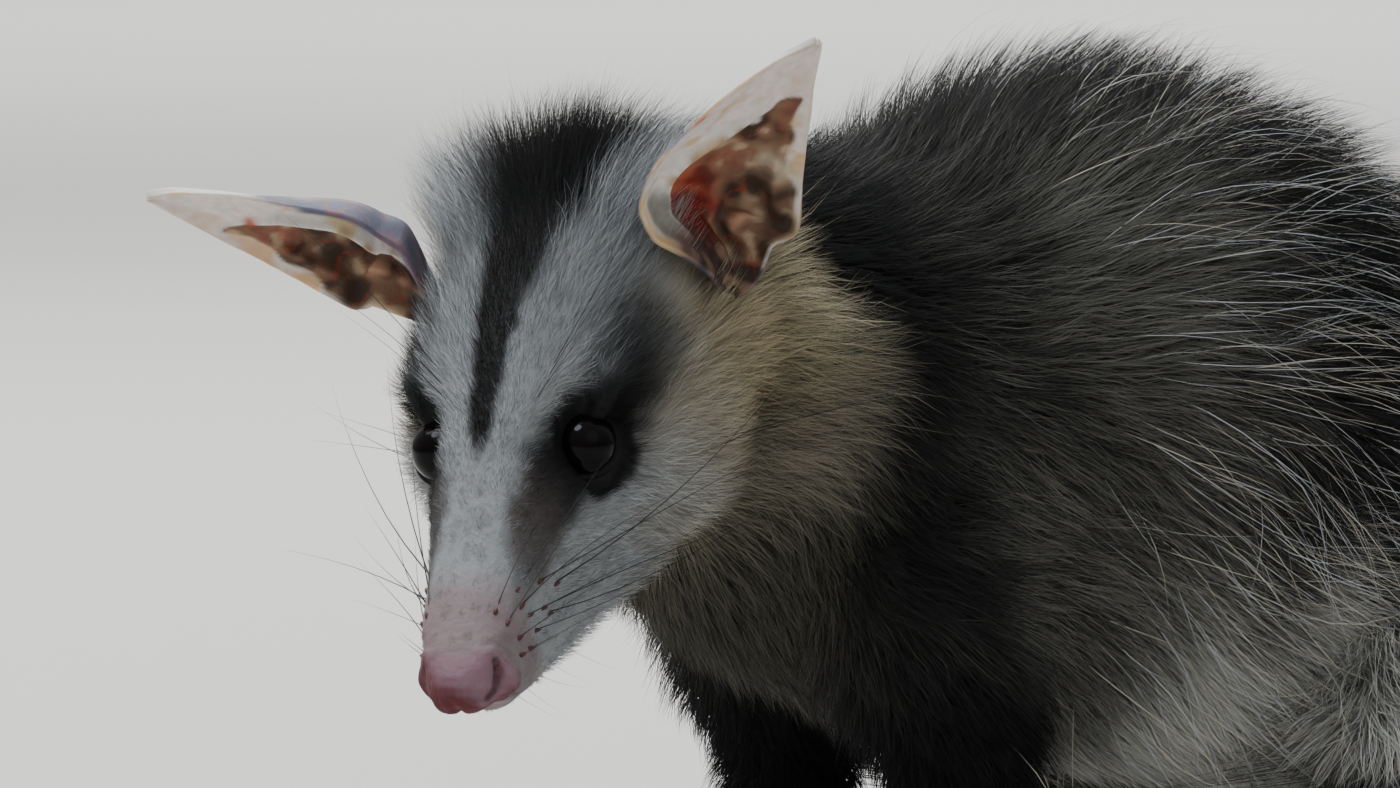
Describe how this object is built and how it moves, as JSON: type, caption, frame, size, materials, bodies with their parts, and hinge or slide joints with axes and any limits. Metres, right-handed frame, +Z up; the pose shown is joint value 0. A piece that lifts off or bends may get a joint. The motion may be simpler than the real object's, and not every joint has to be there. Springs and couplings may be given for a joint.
{
  "type": "opossum figure",
  "caption": "Life-size white-eared opossum, hunched in a crouch with its head low and turned, tail laid on the floor.",
  "frame": {"origin": "middle of the bounding box, on the floor under the feet", "axes": "+X from the head towards the tail, +Y the animal's right side, +Z up"},
  "size_m": [0.5678, 0.1698, 0.1947],
  "materials": {
    "face_fur": "short soft white fur",
    "pink_skin": "moist bare skin",
    "wet_black": "wet glossy eye",
    "ear_skin": "thin bare ear skin",
    "ruff_fur": "cream fur",
    "grey_fur": "long grey and black coat",
    "black_fur": "black fur",
    "foot_skin": "bare foot skin with horn claws",
    "tail_black": "dark scaly skin",
    "tail_pale": "pale scaly skin"
  },
  "bodies": {
    "root": {"head": "face_fur", "nose": "pink_skin", "eye_left": "wet_black", "eye_right": "wet_black", "ear_left": "ear_skin", "ear_right": "ear_skin", "neck": "ruff_fur", "torso": "grey_fur", "upper_arm_left": "black_fur", "forearm_left": "black_fur", "thigh_left": "black_fur", "shank_left": "black_fur", "forefoot_left": "foot_skin", "hindfoot_left": "foot_skin", "upper_arm_right": "black_fur", "forearm_right": "black_fur", "thigh_right": "black_fur", "shank_right": "black_fur", "forefoot_right": "foot_skin", "hindfoot_right": "foot_skin", "tail_base": "black_fur", "tail_middle": "tail_black", "tail_tip": "tail_pale"}
  },
  "joints": []
}
